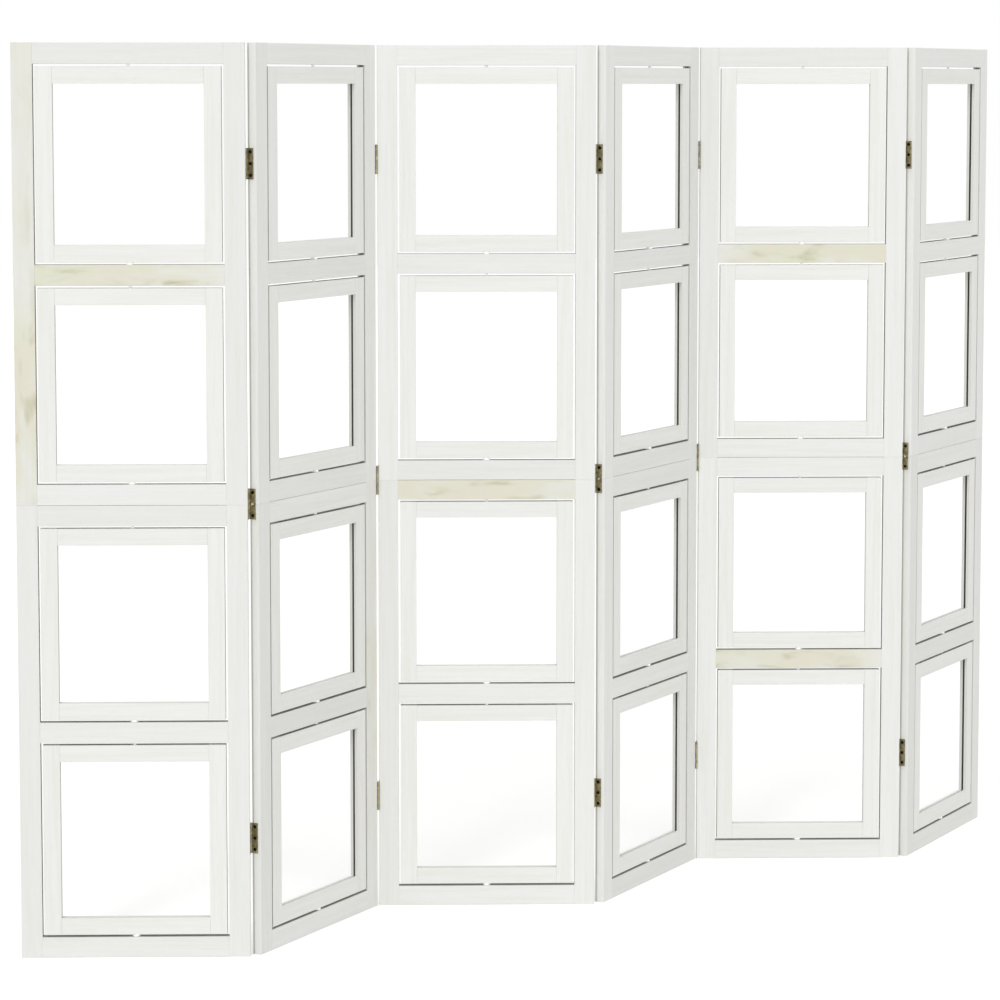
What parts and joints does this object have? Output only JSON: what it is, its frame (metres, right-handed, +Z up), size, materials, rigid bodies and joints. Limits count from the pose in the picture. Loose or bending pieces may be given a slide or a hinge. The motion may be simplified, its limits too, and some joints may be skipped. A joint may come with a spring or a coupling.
{
  "type": "folding screen",
  "caption": "Whitewashed wooden folding screen of hinged panels; each panel holds open photo frames one above another, and every frame swivels about an upright pivot at its middle.",
  "frame": {"origin": "middle of the footprint on the floor, with the screen standing in its zigzag", "axes": "+X along the screen's long line to the viewer's right, +Y towards the back, +Z up"},
  "size_m": [2.2338, 0.2228, 1.66],
  "materials": {
    "washed_wood": "whitewashed paulownia, matt",
    "frame_wood": "whitewashed paulownia, matt",
    "dowel_wood": "plain beech",
    "pivot_plastic": "white nylon",
    "hinge_brass": "antique brass, satin",
    "dark_steel": "dark bronzed steel"
  },
  "bodies": {
    "panel_1": {"panel_1_stiles": "washed_wood", "panel_1_rails": "washed_wood", "panel_1_dowels": "dowel_wood", "panel_1_pivots": "pivot_plastic", "panel_1_hinge_leaves": "hinge_brass", "panel_1_hinge_fasteners": "dark_steel"},
    "panel_2": {"panel_2_stiles": "washed_wood", "panel_2_rails": "washed_wood", "panel_2_dowels": "dowel_wood", "panel_2_pivots": "pivot_plastic", "panel_2_hinge_leaves": "hinge_brass", "panel_2_hinge_fasteners": "dark_steel"},
    "panel_3": {"panel_3_stiles": "washed_wood", "panel_3_rails": "washed_wood", "panel_3_dowels": "dowel_wood", "panel_3_pivots": "pivot_plastic", "panel_3_hinge_leaves": "hinge_brass", "panel_3_hinge_fasteners": "dark_steel"},
    "panel_4": {"panel_4_stiles": "washed_wood", "panel_4_rails": "washed_wood", "panel_4_dowels": "dowel_wood", "panel_4_pivots": "pivot_plastic", "panel_4_hinge_leaves": "hinge_brass", "panel_4_hinge_fasteners": "dark_steel"},
    "panel_5": {"panel_5_stiles": "washed_wood", "panel_5_rails": "washed_wood", "panel_5_dowels": "dowel_wood", "panel_5_pivots": "pivot_plastic", "panel_5_hinge_leaves": "hinge_brass", "panel_5_hinge_fasteners": "dark_steel"},
    "panel_6": {"panel_6_stiles": "washed_wood", "panel_6_rails": "washed_wood", "panel_6_dowels": "dowel_wood", "panel_6_pivots": "pivot_plastic", "panel_6_hinge_leaves": "hinge_brass", "panel_6_hinge_fasteners": "dark_steel"},
    "frame_1a": {"photo_frame_1a": "frame_wood"},
    "frame_1b": {"photo_frame_1b": "frame_wood"},
    "frame_1c": {"photo_frame_1c": "frame_wood"},
    "frame_1d": {"photo_frame_1d": "frame_wood"},
    "frame_2a": {"photo_frame_2a": "frame_wood"},
    "frame_2b": {"photo_frame_2b": "frame_wood"},
    "frame_2c": {"photo_frame_2c": "frame_wood"},
    "frame_2d": {"photo_frame_2d": "frame_wood"},
    "frame_3a": {"photo_frame_3a": "frame_wood"},
    "frame_3b": {"photo_frame_3b": "frame_wood"},
    "frame_3c": {"photo_frame_3c": "frame_wood"},
    "frame_3d": {"photo_frame_3d": "frame_wood"},
    "frame_4a": {"photo_frame_4a": "frame_wood"},
    "frame_4b": {"photo_frame_4b": "frame_wood"},
    "frame_4c": {"photo_frame_4c": "frame_wood"},
    "frame_4d": {"photo_frame_4d": "frame_wood"},
    "frame_5a": {"photo_frame_5a": "frame_wood"},
    "frame_5b": {"photo_frame_5b": "frame_wood"},
    "frame_5c": {"photo_frame_5c": "frame_wood"},
    "frame_5d": {"photo_frame_5d": "frame_wood"},
    "frame_6a": {"photo_frame_6a": "frame_wood"},
    "frame_6b": {"photo_frame_6b": "frame_wood"},
    "frame_6c": {"photo_frame_6c": "frame_wood"},
    "frame_6d": {"photo_frame_6d": "frame_wood"}
  },
  "joints": [
    {"name": "fold_12", "type": "hinge", "parent": "panel_2", "child": "panel_1", "pos_m": [-0.74615, -0.09521, 0], "axis": [0, 0, -1], "range_deg": [-60, 120]},
    {"name": "fold_23", "type": "hinge", "parent": "panel_3", "child": "panel_2", "pos_m": [-0.37307, 0.09521, 0], "axis": [0, 0, 1], "range_deg": [-60, 120]},
    {"name": "fold_34", "type": "hinge", "parent": "panel_3", "child": "panel_4", "pos_m": [0, -0.09521, 0], "axis": [0, 0, 1], "range_deg": [-60, 120]},
    {"name": "fold_45", "type": "hinge", "parent": "panel_4", "child": "panel_5", "pos_m": [0.37307, 0.09521, 0], "axis": [0, 0, -1], "range_deg": [-60, 120]},
    {"name": "fold_56", "type": "hinge", "parent": "panel_5", "child": "panel_6", "pos_m": [0.74615, -0.09521, 0], "axis": [0, 0, 1], "range_deg": [-60, 120]},
    {"name": "swivel_1a", "type": "hinge", "parent": "panel_1", "child": "frame_1a", "pos_m": [-0.93269, 0, 1.443], "axis": [0, 0, 1], "continuous": true},
    {"name": "swivel_1b", "type": "hinge", "parent": "panel_1", "child": "frame_1b", "pos_m": [-0.93269, 0, 1.047], "axis": [0, 0, 1], "continuous": true},
    {"name": "swivel_1c", "type": "hinge", "parent": "panel_1", "child": "frame_1c", "pos_m": [-0.93269, 0, 0.613], "axis": [0, 0, 1], "continuous": true},
    {"name": "swivel_1d", "type": "hinge", "parent": "panel_1", "child": "frame_1d", "pos_m": [-0.93269, 0, 0.217], "axis": [0, 0, 1], "continuous": true},
    {"name": "swivel_2a", "type": "hinge", "parent": "panel_2", "child": "frame_2a", "pos_m": [-0.55961, 0, 1.443], "axis": [0, 0, 1], "continuous": true},
    {"name": "swivel_2b", "type": "hinge", "parent": "panel_2", "child": "frame_2b", "pos_m": [-0.55961, 0, 1.047], "axis": [0, 0, 1], "continuous": true},
    {"name": "swivel_2c", "type": "hinge", "parent": "panel_2", "child": "frame_2c", "pos_m": [-0.55961, 0, 0.613], "axis": [0, 0, 1], "continuous": true},
    {"name": "swivel_2d", "type": "hinge", "parent": "panel_2", "child": "frame_2d", "pos_m": [-0.55961, 0, 0.217], "axis": [0, 0, 1], "continuous": true},
    {"name": "swivel_3a", "type": "hinge", "parent": "panel_3", "child": "frame_3a", "pos_m": [-0.18654, 0, 1.443], "axis": [0, 0, 1], "continuous": true},
    {"name": "swivel_3b", "type": "hinge", "parent": "panel_3", "child": "frame_3b", "pos_m": [-0.18654, 0, 1.047], "axis": [0, 0, 1], "continuous": true},
    {"name": "swivel_3c", "type": "hinge", "parent": "panel_3", "child": "frame_3c", "pos_m": [-0.18654, 0, 0.613], "axis": [0, 0, 1], "continuous": true},
    {"name": "swivel_3d", "type": "hinge", "parent": "panel_3", "child": "frame_3d", "pos_m": [-0.18654, 0, 0.217], "axis": [0, 0, 1], "continuous": true},
    {"name": "swivel_4a", "type": "hinge", "parent": "panel_4", "child": "frame_4a", "pos_m": [0.18654, 0, 1.443], "axis": [0, 0, 1], "continuous": true},
    {"name": "swivel_4b", "type": "hinge", "parent": "panel_4", "child": "frame_4b", "pos_m": [0.18654, 0, 1.047], "axis": [0, 0, 1], "continuous": true},
    {"name": "swivel_4c", "type": "hinge", "parent": "panel_4", "child": "frame_4c", "pos_m": [0.18654, 0, 0.613], "axis": [0, 0, 1], "continuous": true},
    {"name": "swivel_4d", "type": "hinge", "parent": "panel_4", "child": "frame_4d", "pos_m": [0.18654, 0, 0.217], "axis": [0, 0, 1], "continuous": true},
    {"name": "swivel_5a", "type": "hinge", "parent": "panel_5", "child": "frame_5a", "pos_m": [0.55961, 0, 1.443], "axis": [0, 0, 1], "continuous": true},
    {"name": "swivel_5b", "type": "hinge", "parent": "panel_5", "child": "frame_5b", "pos_m": [0.55961, 0, 1.047], "axis": [0, 0, 1], "continuous": true},
    {"name": "swivel_5c", "type": "hinge", "parent": "panel_5", "child": "frame_5c", "pos_m": [0.55961, 0, 0.613], "axis": [0, 0, 1], "continuous": true},
    {"name": "swivel_5d", "type": "hinge", "parent": "panel_5", "child": "frame_5d", "pos_m": [0.55961, 0, 0.217], "axis": [0, 0, 1], "continuous": true},
    {"name": "swivel_6a", "type": "hinge", "parent": "panel_6", "child": "frame_6a", "pos_m": [0.93269, 0, 1.443], "axis": [0, 0, 1], "continuous": true},
    {"name": "swivel_6b", "type": "hinge", "parent": "panel_6", "child": "frame_6b", "pos_m": [0.93269, 0, 1.047], "axis": [0, 0, 1], "continuous": true},
    {"name": "swivel_6c", "type": "hinge", "parent": "panel_6", "child": "frame_6c", "pos_m": [0.93269, 0, 0.613], "axis": [0, 0, 1], "continuous": true},
    {"name": "swivel_6d", "type": "hinge", "parent": "panel_6", "child": "frame_6d", "pos_m": [0.93269, 0, 0.217], "axis": [0, 0, 1], "continuous": true}
  ]
}
